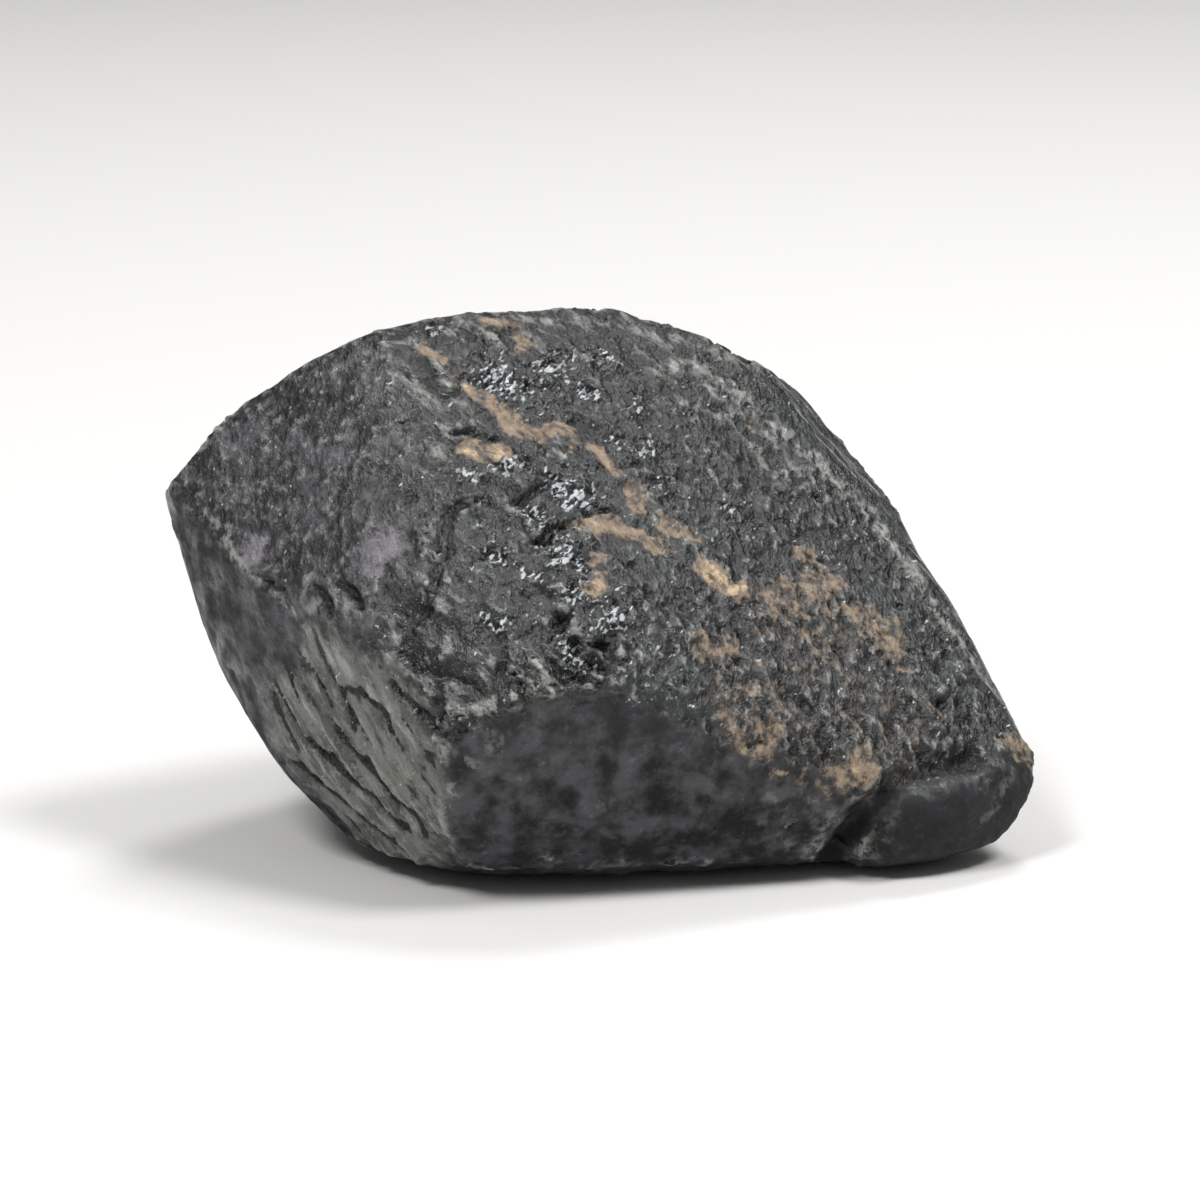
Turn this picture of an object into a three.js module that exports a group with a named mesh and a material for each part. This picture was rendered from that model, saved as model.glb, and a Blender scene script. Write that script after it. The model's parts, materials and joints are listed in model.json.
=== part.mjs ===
// Rough black tourmaline: one natural piece of schorl, broken to blunt facets and worn at its edges,
// lying on its flattest side. Millimetres, +Z up; +X runs to the viewer's right and +Y away from the
// viewer of the stone's best side. The origin is below the middle of the stone, at the resting plane.
import * as THREE from "three";
import { ConvexHull } from "three/addons/math/ConvexHull.js";
import { ImprovedNoise } from "three/addons/math/ImprovedNoise.js";
import { mergeVertices } from "three/addons/utils/BufferGeometryUtils.js";

// Driving dimensions, in millimetres
const EDGE_WEAR = 0.26; // how far wear has eaten into an edge between two facets
const LUMP_HEIGHT = 0.28; // swelling and sinking of the broken faces
const LUMP_SIZE = 5.5; // distance from one swelling to the next
const HEART = new THREE.Vector3(0, 0, 11.5); // a point inside, from which the whole surface can be seen
const MESH_SPREAD = new THREE.Vector3(25, 15, 13); // half length, depth and height, to even out the mesh
const MESH_DETAIL = 20; // cuts along each edge of the starting icosahedron
const REACH = 34; // farther from the heart than any corner
const MARCH = 0.4; // step of the search for the surface

// Corners of the block before its faces broke away: x to the right, y to the back, z up from where it rests
const BLOCK_CORNERS = [
  // crest, from the left tip over the crown
  [-21.2, 1.5, 18.0],
  [-18.6, 2.0, 20.3],
  [-12.8, 2.2, 22.9],
  [-10.3, 2.6, 24.2],
  [-7.4, 5.0, 24.4],
  [-3.8, 7.0, 24.6],
  [0.4, 8.5, 24.4],
  [3.6, 9.0, 23.9],
  [6.5, 9.5, 22.8],
  // down the right slope to the knob
  [8.9, 9.5, 21.4],
  [11.0, 9.3, 19.2],
  [12.8, 8.0, 17.0],
  [14.0, 6.0, 15.0],
  [15.2, 3.6, 13.2],
  [16.2, 1.6, 11.0],
  [17.5, 0.6, 9.2],
  [18.8, -0.6, 7.5],
  [20.1, -1.6, 5.9],
  [20.8, -3.0, 4.2],
  [20.5, -3.6, 2.4],
  [19.6, -4.8, 1.0],
  [17.4, -6.9, 2.6],
  [17.0, -6.6, -0.6],
  [14.0, -7.9, -1],
  // lower front edge and heel
  [9.9, -7.4, -1],
  [12.6, -9.2, 3.2],
  [9.0, -11.0, 6.0],
  [2.0, -12.6, 10.0],
  [-7.0, -14.0, 9.5],
  [-7.6, -10.8, 1.8],
  [-8.7, -8.2, -1],
  // left flank
  [-14.2, -6.4, 11.0],
  [-18.6, -1.5, 15.5],
  [-14.8, -5.4, 6.2],
  [-10.1, -7.8, 0.2],
  [-11.9, -6.2, 0.9],
  [-14.2, -5.2, 3.8],
  [-15.9, -3.6, 5.4],
  [-18.3, 0.5, 8.7],
  // back
  [-15.5, 8.5, 15.0],
  [-18.0, 5.5, 9.5],
  [-8.5, 11.5, 19.5],
  [2.0, 14.0, 18.0],
  [9.5, 13.8, 13.0],
  [15.0, 9.5, 8.5],
  [17.5, 5.5, 3.5],
  [9.0, 13.4, 4.0],
  [-1.0, 15.0, 7.5],
  [-11.5, 12.0, 6.0],
  // resting plane, a little below the cut
  [-8.0, 8.5, -1],
  [0.0, 11.5, -1],
  [8.5, 10.5, -1],
  [15.5, 4.0, -1],
  [-12.2, 1.0, -1],
];

// Broken faces: the way each one faces, and a point that it passes through
const BREAKS = {
  leftFace: { facing: [-0.44, -0.63, 0.64], through: [-21.0, 2.7, 17.1] },
  middleFace: { facing: [-0.19, -0.87, 0.456], through: [-7.1, -8.6, 15.0] },
  mainFace: { facing: [0.47, -0.667, 0.578], through: [0, -4.2, 19.3] },
  topFace: { facing: [0.2, -0.337, 0.92], through: [0, -4.2, 19.6] },
  lowerFront: { facing: [0.163, -0.963, -0.214], through: [-1.4, -12.2, 10.9] },
  lowerLeft: { facing: [-0.71, -0.7, -0.11], through: [-6.9, -12.6, 8.8] },
  rightShoulder: { facing: [0.69, -0.15, 0.715], through: [10.4, 1.2, 17.0] },
};

// Crease that sets the knob at the right end off from the front corner: a round groove along a line
const CREASE = { from: [11.0, -8.5, -1.0], to: [12.5, -9.1, 4.4], radius: 1.4, rim: 0.45 };

// Planes of the facets that bound the hull of some corners
function facetsOf(corners) {
  const hull = new ConvexHull().setFromPoints(corners.map((corner) => new THREE.Vector3(...corner)));
  return hull.faces.map((face) => new THREE.Plane(face.normal.clone(), -face.constant));
}

// Distance outside a faceted body whose edges are worn: a soft maximum over its facets
function wornBody(facets, point) {
  let sum = 0;
  for (const facet of facets) sum += Math.exp(facet.distanceToPoint(point) / EDGE_WEAR);
  return EDGE_WEAR * Math.log(sum);
}

const CREASE_LINE = new THREE.Line3(new THREE.Vector3(...CREASE.from), new THREE.Vector3(...CREASE.to));
const noise = new ImprovedNoise();
function lumps(point) {
  const { x, y, z } = point.clone().divideScalar(LUMP_SIZE);
  return LUMP_HEIGHT * (noise.noise(x, y, z) + 0.5 * noise.noise(2 * x + 7, 2 * y, 2 * z));
}

function breakPlane({ facing, through }) {
  return new THREE.Plane().setFromNormalAndCoplanarPoint(
    new THREE.Vector3(...facing).normalize(),
    new THREE.Vector3(...through),
  );
}

const facets = [...facetsOf(BLOCK_CORNERS), ...Object.values(BREAKS).map(breakPlane)];

// Distance inside the groove of the crease
function insideCrease(point) {
  const nearest = CREASE_LINE.closestPointToPoint(point, true, new THREE.Vector3());
  return CREASE.radius - nearest.distanceTo(point);
}

// Distance outside the stone: worn facets with the crease taken out, lumpy, and flat underneath
function stoneDistance(point) {
  const body = wornBody(facets, point);
  const groove = insideCrease(point);
  const rim = Math.max(CREASE.rim - Math.abs(body - groove), 0);
  const creased = Math.max(body, groove) + rim ** 2 / (4 * CREASE.rim);
  return Math.max(creased + lumps(point), -point.z);
}

// The outermost point of the stone on a ray from its heart
function surfacePoint(direction) {
  const at = (distance) => direction.clone().multiplyScalar(distance).add(HEART);
  let outside = REACH;
  while (stoneDistance(at(outside - MARCH)) > 0) outside -= MARCH;
  let inside = outside - MARCH;
  for (let halving = 0; halving < 24; halving++) {
    const middle = (inside + outside) / 2;
    if (stoneDistance(at(middle)) > 0) outside = middle;
    else inside = middle;
  }
  return at(inside);
}

function stoneGeometry() {
  const sphere = new THREE.IcosahedronGeometry(1, MESH_DETAIL);
  sphere.deleteAttribute("normal");
  sphere.deleteAttribute("uv");
  const geometry = mergeVertices(sphere);
  const position = geometry.getAttribute("position");
  const vertex = new THREE.Vector3();
  for (let i = 0; i < position.count; i++) {
    vertex.fromBufferAttribute(position, i).multiply(MESH_SPREAD).normalize();
    const point = surfacePoint(vertex);
    position.setXYZ(i, point.x, point.y, Math.max(point.z, 0));
  }
  geometry.computeBoundingBox();
  const middle = geometry.boundingBox.getCenter(new THREE.Vector3());
  geometry.translate(-middle.x, -middle.y, 0);
  geometry.computeVertexNormals();
  return geometry;
}

const stone = new THREE.Mesh(
  stoneGeometry(),
  new THREE.MeshStandardMaterial({ color: 0x2b2c2e, roughness: 0.45, metalness: 0 }),
);
stone.name = "stone";

const part = new THREE.Group();
part.add(stone);

export default part;
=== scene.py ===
import json
import math

import bpy
import numpy as np
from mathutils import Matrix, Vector, noise

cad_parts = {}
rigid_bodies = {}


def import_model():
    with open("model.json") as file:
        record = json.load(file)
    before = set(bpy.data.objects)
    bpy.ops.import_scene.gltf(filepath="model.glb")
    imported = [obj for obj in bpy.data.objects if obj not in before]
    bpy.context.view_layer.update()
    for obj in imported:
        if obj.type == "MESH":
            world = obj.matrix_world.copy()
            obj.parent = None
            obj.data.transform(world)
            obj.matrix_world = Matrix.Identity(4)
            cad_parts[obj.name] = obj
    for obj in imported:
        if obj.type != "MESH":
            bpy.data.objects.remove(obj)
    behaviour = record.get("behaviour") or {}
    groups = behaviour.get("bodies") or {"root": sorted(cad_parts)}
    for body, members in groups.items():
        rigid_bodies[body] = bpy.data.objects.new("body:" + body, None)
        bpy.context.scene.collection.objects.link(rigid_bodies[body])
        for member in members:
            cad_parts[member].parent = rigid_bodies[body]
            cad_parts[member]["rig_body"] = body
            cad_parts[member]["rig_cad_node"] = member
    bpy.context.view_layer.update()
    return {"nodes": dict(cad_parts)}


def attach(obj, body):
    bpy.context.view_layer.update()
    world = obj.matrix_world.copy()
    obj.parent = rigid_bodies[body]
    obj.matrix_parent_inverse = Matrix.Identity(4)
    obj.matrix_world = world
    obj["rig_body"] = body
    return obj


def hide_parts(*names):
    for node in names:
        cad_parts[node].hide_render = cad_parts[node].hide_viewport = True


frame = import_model()
mm = 0.001
print("frame loaded:", sorted(frame["nodes"]))


def linear(hexColour):
    # sRGB hex to the linear numbers that Blender mixes with
    parts = [int(hexColour[i:i + 2], 16) / 255 for i in (1, 3, 5)]
    return [c / 12.92 if c <= 0.04045 else ((c + 0.055) / 1.055) ** 2.4 for c in parts] + [1]


def addNode(tree, kind, wires=None, out=0, **settings):
    node = tree.nodes.new(kind)
    for setting, value in settings.items():
        setattr(node, setting, value)
    for socket, value in (wires or {}).items():
        if isinstance(value, bpy.types.NodeSocket):
            tree.links.new(value, node.inputs[socket])
        else:
            node.inputs[socket].default_value = value
    return node.outputs[out] if node.outputs else node


easing = {"interpolation_type": "SMOOTHSTEP"}   # for a Map Range that starts and ends gently


# The camera stands where the picture was taken from, and frames the stone alone
view = {
    "above": 14,                  # degrees over the level
    "distance": 210,              # mm from the eye to the aim
    "aim": (0.13, -1.17, 11.4),   # mm
    "aimPixel": (900, 745),       # where the aim shows in the 1200 pixel picture
    "focal": 2121,                # the picture's focal length in its own pixels
    "crop": 560,                  # pixels of the picture that fill the frame from side to side
    "sensor": 36,                 # mm
    "near": 5,                    # mm, nothing closer shows
}
tilt = math.radians(view["above"])
viewAhead = Vector((0, math.cos(tilt), -math.sin(tilt)))
viewUp = Vector((0, math.sin(tilt), math.cos(tilt)))
viewRight = Vector((1, 0, 0))
eye = Vector(view["aim"]) * mm - viewAhead * view["distance"] * mm


def addCamera():
    bpy.ops.object.camera_add(location=eye)
    camera = bpy.context.active_object
    camera.name = "camera"
    camera.rotation_euler = viewAhead.to_track_quat("-Z", "Y").to_euler()
    camera.data.sensor_width = view["sensor"]
    camera.data.lens = view["sensor"] * view["focal"] / view["crop"]
    camera.data.clip_start = view["near"] * mm
    bpy.context.scene.camera = camera


addCamera()
print("camera placed")


# The stone's own mesh: the solid's facets, closed up, made fine and even, and worn a little
stoneMesh = {
    "merge": 0.001,    # mm
    "voxel": 0.205,    # mm, spacing of the fine mesh
    "wear": 0.5,       # share of the way that each pass of smoothing goes
    "wearPasses": 16,  # smoothing that takes the facets' corners off
}


def applyModifier(piece, kind, **settings):
    modifier = piece.modifiers.new(kind.title(), kind)
    for setting, value in settings.items():
        setattr(modifier, setting, value)
    bpy.context.view_layer.objects.active = piece
    bpy.ops.object.modifier_apply(modifier=modifier.name)


def copyOfNode(node, name):
    bpy.ops.object.select_all(action="DESELECT")
    frame["nodes"][node].select_set(True)
    bpy.context.view_layer.objects.active = frame["nodes"][node]
    bpy.ops.object.duplicate()
    piece = bpy.context.active_object
    piece.name = name
    piece.parent = None
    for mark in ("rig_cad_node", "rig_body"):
        del piece[mark]
    piece.data.materials.clear()
    return piece


def fineStone():
    stone = copyOfNode("stone", "tourmaline")
    bpy.ops.object.mode_set(mode="EDIT")
    bpy.ops.mesh.select_all(action="SELECT")
    bpy.ops.mesh.remove_doubles(threshold=stoneMesh["merge"] * mm)
    bpy.ops.object.mode_set(mode="OBJECT")
    applyModifier(stone, "REMESH", mode="VOXEL", voxel_size=stoneMesh["voxel"] * mm)
    applyModifier(stone, "SMOOTH", factor=stoneMesh["wear"], iterations=stoneMesh["wearPasses"])
    return stone


stone = fineStone()
print("fine mesh:", len(stone.data.vertices), "points")


def pointsOf(piece, what="co"):
    flat = np.empty(len(piece.data.vertices) * 3, np.float32)
    piece.data.vertices.foreach_get(what, flat)
    return flat.reshape(-1, 3).astype(float)


# Flat breaks on the hidden side: the way each one looks, and how much it takes off in mm
backBreaks = [
    ((-0.55, 0.8, 0.25), 1.0),
    ((0.2, 0.75, 0.63), 1.1),
    ((0.75, 0.62, 0.2), 1.0),
    ((-0.25, 0.9, -0.35), 0.9),
    ((0.45, 0.85, -0.28), 0.9),
    ((-0.75, 0.3, 0.6), 0.7),
    ((-0.25, 0.6, 0.76), 0.9),
]


def breakBack():
    points = pointsOf(stone) / mm
    for way, depth in backBreaks:
        out = np.array(Vector(way).normalized())
        reach = points @ out
        points -= np.maximum(reach - reach.max() + depth, 0)[:, None] * out
    stone.data.vertices.foreach_set("co", (points * mm).ravel())
    stone.data.update()


breakBack()
print("hidden side broken flat")

# Marks are placed by pixels of the 1200 pixel picture and cast from the eye onto the stone
cracks = {
    "besideLeftFace": [(849, 688), (845, 699), (832, 700), (828, 706), (827, 716), (825, 733), (823, 743),
                       (813, 753)],
    "upper": [(859, 700), (868, 695), (876, 692)],
    "middle": [(866, 718), (876, 713), (888, 707)],
    "underTan": [(888, 706), (897, 702), (909, 702)],
    "slit": [(917, 742), (920, 748), (924, 754)],
    "aboveLip": [(876, 754), (886, 759), (897, 763), (906, 765)],
    "underLip": [(870, 786), (881, 783), (890, 777), (897, 779), (904, 782)],
    "nearLip": [(849, 785), (853, 779), (858, 774)],
    "leftLow": [(742, 734), (748, 738), (754, 743)],
    "leftLower": [(767, 736), (772, 744), (777, 751)],
    "leftLowest": [(778, 734), (784, 741), (790, 748)],
    "underOrange": [(830, 667), (840, 667), (853, 668)],
    "besideKnob": [(1013, 876), (1017, 866), (1021, 857), (1027, 847), (1036, 836)],
}
knobCrease = [(1017, 869), (1020, 858), (1025, 847), (1038, 833), (1053, 823), (1074, 820)]
scarp = [(880, 756, 1.0), (890, 762, 1.2), (901, 765, 1.2), (893, 777, 1.2), (880, 782, 0.9)]
pits = [
    (991, 848, 0.8), (996, 792, 0.4), (1053, 817, 0.5), (937, 705, 0.5), (1062, 792, 0.5), (1036, 806, 0.4),
    (878, 755, 0.45), (886, 760, 0.55), (894, 764, 0.6), (903, 766, 0.45), (893, 777, 0.5), (884, 781, 0.4),
]
lip = [(826, 804), (844, 795), (866, 788), (885, 781), (898, 779), (912, 783)]
roundedEdge = [(916, 786), (930, 802), (946, 818), (966, 830), (990, 840)]
heelEdge = [(815, 806), (812, 820), (811, 845), (818, 866)]
splitMiddle = [[(771, 778), (780, 800), (792, 830), (806, 860)], [(758, 800), (774, 828), (793, 852)],
               [(800, 795), (804, 820), (812, 850)]]
splitGrooves = {
    "heel": [(756, 822), (775, 838), (794, 857), (803, 865)],
    "long": [(764, 811), (777, 824), (793, 839), (806, 856)],
    "middle": [(777, 806), (791, 824), (799, 834), (811, 849), (813, 858)],
    "short": [(782, 797), (784, 805)],
    "hook": [(787, 787), (799, 799), (801, 806)],
    "upper": [(803, 784), (811, 794), (821, 803)],
}
# Edges worn pale, and a pale rim on the crest that is a painted highlight: points, half width in mm and
# strength
wornLines = {
    "rightRidge": ([(925, 638), (949, 635), (966, 650), (983, 665), (1003, 681), (1019, 700), (1036, 718),
                    (1046, 729), (1056, 749), (1070, 767), (1087, 791), (1098, 808)], 0.85, 0.85),
    "rearRidge": ([(938, 623), (963, 633), (983, 641), (998, 657), (1017, 683), (1027, 704)], 0.7, 0.6),
    "fibre": ([(938, 653), (959, 661), (973, 676), (983, 690)], 0.4, 0.7),
    "fibreTwin": ([(948, 644), (968, 660), (990, 680), (1008, 698)], 0.4, 0.7),
    # painted highlight: the bright rim along the crest
    "crest": ([(802, 626), (830, 618), (862, 614), (890, 614), (915, 618), (935, 626)], 0.6, 0.6),
    "leftEdge": ([(715, 706), (725, 715), (734, 729), (744, 737), (753, 747), (762, 758), (773, 769),
                  (782, 778)], 0.45, 0.9),
    "spine": ([(801, 632), (810, 639), (818, 650), (824, 662), (825, 675)], 0.5, 0.7),
    "scratch": ([(828, 646), (845, 666)], 0.3, 1.0),
    "scratchTwin": ([(864, 620), (877, 630)], 0.3, 1.0),
    "corner": ([(1012, 850), (1009, 860), (1002, 873)], 0.9, 0.45),
    "knob": ([(1088, 822), (1089, 838), (1084, 848)], 0.6, 0.25),
    "lip": ([(828, 803), (844, 794), (866, 787), (880, 782)], 0.5, 0.9),
}
# Rust that runs in streaks: points, half width in mm and strength
rustStreaks = [
    ([(816, 627), (831, 636), (841, 646), (850, 652)], 0.36, 1.4),
    ([(846, 649), (853, 655), (863, 662), (869, 667), (880, 667)], 0.5, 1.4),
    ([(880, 667), (888, 672), (899, 678), (906, 683)], 0.34, 1.3),
    ([(848, 619), (857, 620), (865, 627)], 0.5, 1.3),
    ([(839, 674), (851, 674)], 0.46, 2.8),
    ([(891, 708), (903, 708), (916, 712), (925, 719)], 0.55, 1.5),
    ([(930, 708), (941, 712)], 0.6, 1.4),
    ([(948, 729), (957, 734), (964, 738)], 0.5, 2.4),
    ([(890, 739), (895, 735), (901, 726)], 0.4, 1.6),
    ([(916, 691), (917, 700)], 0.5, 1.0),
    ([(996, 724), (1006, 724)], 0.4, 1.2),
    ([(979, 745), (992, 741), (1009, 735)], 1.1, 0.85),
    ([(1019, 754), (1030, 756), (1039, 766)], 0.9, 0.9),
    ([(950, 769), (959, 766)], 0.6, 1.0),
    ([(962, 804), (966, 814)], 0.6, 1.0),
    ([(977, 804), (980, 816)], 0.6, 1.0),
    ([(1014, 825), (1026, 823)], 0.6, 1.4),
    ([(1092, 814), (1098, 818)], 0.6, 1.0),
]
# Spots of rust, and last the wide fields of specks: pixel, radius in mm and strength
rustSpots = [
    (830, 660, 0.3, 1.2), (1021, 826, 0.4, 1.7), (988, 829, 0.5, 0.9), (1018, 842, 0.5, 0.8),
    (974, 668, 0.3, 1.4), (1044, 777, 0.4, 1.0), (1057, 796, 0.6, 1.1), (1082, 804, 0.5, 0.9),
    (905, 683, 0.35, 1.1),
    (1000, 760, 4.2, 0.5), (975, 795, 4.0, 0.45), (1030, 800, 4.2, 0.42), (955, 690, 3.5, 0.25),
    (1015, 830, 3.0, 0.4), (935, 750, 3.0, 0.3), (905, 640, 3.0, 0.25),
]
# Clusters of shiny crystal ends, glossy and with painted glints: pixel and radius in mm
shine = [
    (852, 640, 1.7), (864, 645, 1.2), (818, 619, 0.8), (887, 632, 0.7), (841, 687, 0.9), (860, 679, 1.1),
    (888, 696, 1.5), (872, 706, 1.0), (884, 721, 1.4), (885, 742, 1.0), (905, 750, 1.4), (890, 768, 1.1),
    (960, 702, 0.8), (991, 849, 0.7), (934, 692, 1.0), (876, 640, 1.2), (893, 648, 0.9), (900, 632, 0.8),
    (922, 672, 0.8), (905, 668, 0.7), (853, 722, 0.8), (851, 753, 0.7), (866, 735, 0.7), (915, 655, 0.8),
]
# Spots of lilac bloom, and patches that stayed smooth, also by pixel and radius
lilac = [
    (800, 719, 1.3), (738, 722, 0.8), (765, 747, 0.6), (767, 734, 0.6), (779, 777, 0.6), (795, 731, 0.7),
]
smoothPatches = [(826, 787, 1.6), (795, 697, 1.3), (812, 660, 1.4)]
# Marks on the hidden side, of the same kinds, by x and z in mm; the shine has a strength too
backCracks = [
    [(-9, 17), (-6, 15.5), (-4.5, 13), (-1, 11.5), (1, 9)],
    [(6, 14), (8, 12.5), (8.5, 10.5)],
    [(-6, 6.5), (-3, 5.5), (0, 5.8)],
]
backStreaks = [
    ([(2.5, 17.5), (4.5, 16.2), (6.5, 15.6), (8, 14)], 0.4, 1.2),
    ([(-8, 9), (-6.5, 7.5), (-6, 6)], 0.34, 1.2),
    ([(11, 9), (12.5, 7.5)], 0.5, 1.2),
]
backRustSpots = [
    (-2, 16, 0.4, 1.4), (0, 6, 0.4, 1.3), (7, 11.5, 0.5, 1.2), (4, 13, 4.2, 0.5), (-9, 12, 3.6, 0.42),
    (10, 8, 4, 0.5), (-3, 8, 3.2, 0.4),
]
backShine = [
    (-3, 13.5, 3.0, 0.45), (5.5, 10, 2.6, 0.4), (0.5, 17.5, 2.4, 0.5), (-11, 14.5, 2.2, 0.4),
    (1, 7, 2.0, 0.35),
]
backPits = [(2, 10, 0.7), (-5, 11, 0.5), (8, 7, 0.6), (-11, 10, 0.5)]
backScarp = [(-8, 16, 1.8), (2.5, 12, 1.6), (9, 10.5, 1.5), (-4, 6, 1.4), (-13, 11, 1.5)]
backWorn = [
    ([(-3, 19), (0, 15), (3.5, 10), (5, 7)], 0.6, 0.7),
    ([(4, 17), (7, 13), (10, 8)], 0.5, 0.6),
    ([(-12, 17), (-9, 13), (-7, 9)], 0.6, 0.7),
    ([(-15, 14), (-13, 10), (-11, 7)], 0.5, 0.6),
]


def castOn(start, way, spot):
    hit, place, *_ = stone.ray_cast(start, way)
    if not hit:
        print("mark misses the stone:", spot)
    return np.array(place if hit else (0, 0, 0)) / mm


def onFront(pixel):
    across = (pixel[0] - view["aimPixel"][0]) / view["focal"]
    down = (pixel[1] - view["aimPixel"][1]) / view["focal"]
    return castOn(eye, viewAhead + viewRight * across - viewUp * down, pixel)


def onBack(spot):
    return castOn(Vector((spot[0] * mm, view["distance"] * mm, spot[1] * mm)), Vector((0, -1, 0)), spot)


def fade(values, full, none):
    part = np.clip((values - none) / (full - none), 0, 1)
    return part * part * (3 - 2 * part)


def nearLines(points, lines, on=onFront, thin=0):
    # mm to the nearest line; one that thins out counts as farther away towards its ends
    nearest = np.full(len(points), painting["farthest"])
    for line in lines:
        places = [on(spot) for spot in line]
        for count, (start, end) in enumerate(zip(places, places[1:])):
            run = end - start
            part = np.clip((points - start) @ run / (run @ run), 0, 1)
            away = np.linalg.norm(points - start - part[:, None] * run, axis=1)
            fromMiddle = 2 * (count + part) / (len(places) - 1) - 1
            nearest = np.minimum(nearest, away + thin * fromMiddle ** 2)
    return nearest


def nearSpots(points, spots, on=onFront):
    core, rim = painting["spotSpan"]
    most = np.zeros(len(points))
    for u, v, radius, *strength in spots:
        away = np.linalg.norm(points - on((u, v)), axis=1)
        most = np.maximum(most, fade(away, core * radius, rim * radius) * (strength or [1])[0])
    return most


def nearStrokes(points, strokes, span, on=onFront):
    # each stroke is a line with a half width and a strength
    core, rim = span
    most = np.zeros(len(points))
    for line, half, strength in strokes:
        most = np.maximum(most, strength * fade(nearLines(points, [line], on), core * half, rim * half))
    return most


def paint(piece, name, values):
    layer = piece.data.attributes.new(name, "FLOAT", "POINT")
    layer.data.foreach_set("value", np.asarray(values, np.float32))


# The ways that each kind of broken face looks, out of the stone; the hidden ones repeat the kinds in view
faces = {
    "leftFace": [(-0.44, -0.63, 0.64), (-0.7, 0.6, 0.35)],
    "middleFace": [(-0.19, -0.87, 0.456), (0.7, 0.7, 0.2)],
    "mainFace": [(0.47, -0.667, 0.578)],
    "topFace": [(0.2, -0.337, 0.92), (0, 0.65, 0.76)],
    "lowerFace": [(0.163, -0.963, -0.214), (0, 0, -1), (0.2, 0.8, -0.6)],
    "flank": [(-0.71, -0.7, -0.11), (-0.86, -0.4, -0.3)],
    "shoulder": [(0.69, -0.15, 0.715)],
    "backFace": [(0, 1, 0.1)],
}
painting = {
    "seed": 5,                # of the wanderings
    "wander": [(2.0, 0.7), (0.7, 0.4), (0.3, 0.2)],   # mm: size and reach of the wanderings of an outline
    "lineWander": 0.38,       # share of them that cracks and worn edges take
    "grooveWander": 0.12,     # and that the straighter grooves take
    "faceSharpness": 50,      # how abruptly one kind of face gives way to the next
    "farthest": 5.0,          # mm, where the distance to a line stops counting
    "spotSpan": (0.2, 1.4),   # radii inside which a spot is full, and where it ends
    "wornSpan": (0.1, 1.0),   # half widths, the same for a worn edge
    "rustSpan": (0.2, 1.8),   # and for a streak of rust
    "crackThin": 0.12,        # mm by which a crack is narrower at its ends
    "creaseReach": (0.1, 1.1),  # mm, from the middle of the crease over the knob to its rim
    "lipReach": (0.2, 1.0),   # mm, the same for the broken lip
    "splitReach": (1.4, 3.0),  # mm, from the middle of the split face to its rim
    "softReach": (1.4, 4.2),  # mm, to both sides of the rounded edge
    "heelReach": (0.5, 1.5),  # mm, to both sides of the heel
    "footHeight": (0.3, 1.3),  # mm, up to where the stone is rounded wholly and a little where it rests
    "knobFrom": (13.2, 4.5),  # mm: the knob lies right of this x and below this z
    "knobRim": 1,             # mm to both sides of these, where it fades
    "knobTurn": (0.2, -0.2),  # how much the surface looks forward where the knob is whole and where it ends
    "splitTurn": (0.3, 0.05),  # the same to the left for the splits
    "behindTurn": (0.6, 0.2),  # and to the back for the hidden side
    "behindFrom": (3, 0.5),   # mm: heights where the hidden side's relief is whole and where it starts
    "crestTurn": (0.05, 0.4),  # how much the surface looks at the eye on the outline, and off it
    "crestFrom": (6.0, 3.0),  # mm: above these heights the outline is worn smooth, wholly and a little
    "crestWear": 0.7,         # share of the relief that is worn off there
    "knobWear": 0.85,         # and on the knob
}


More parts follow.
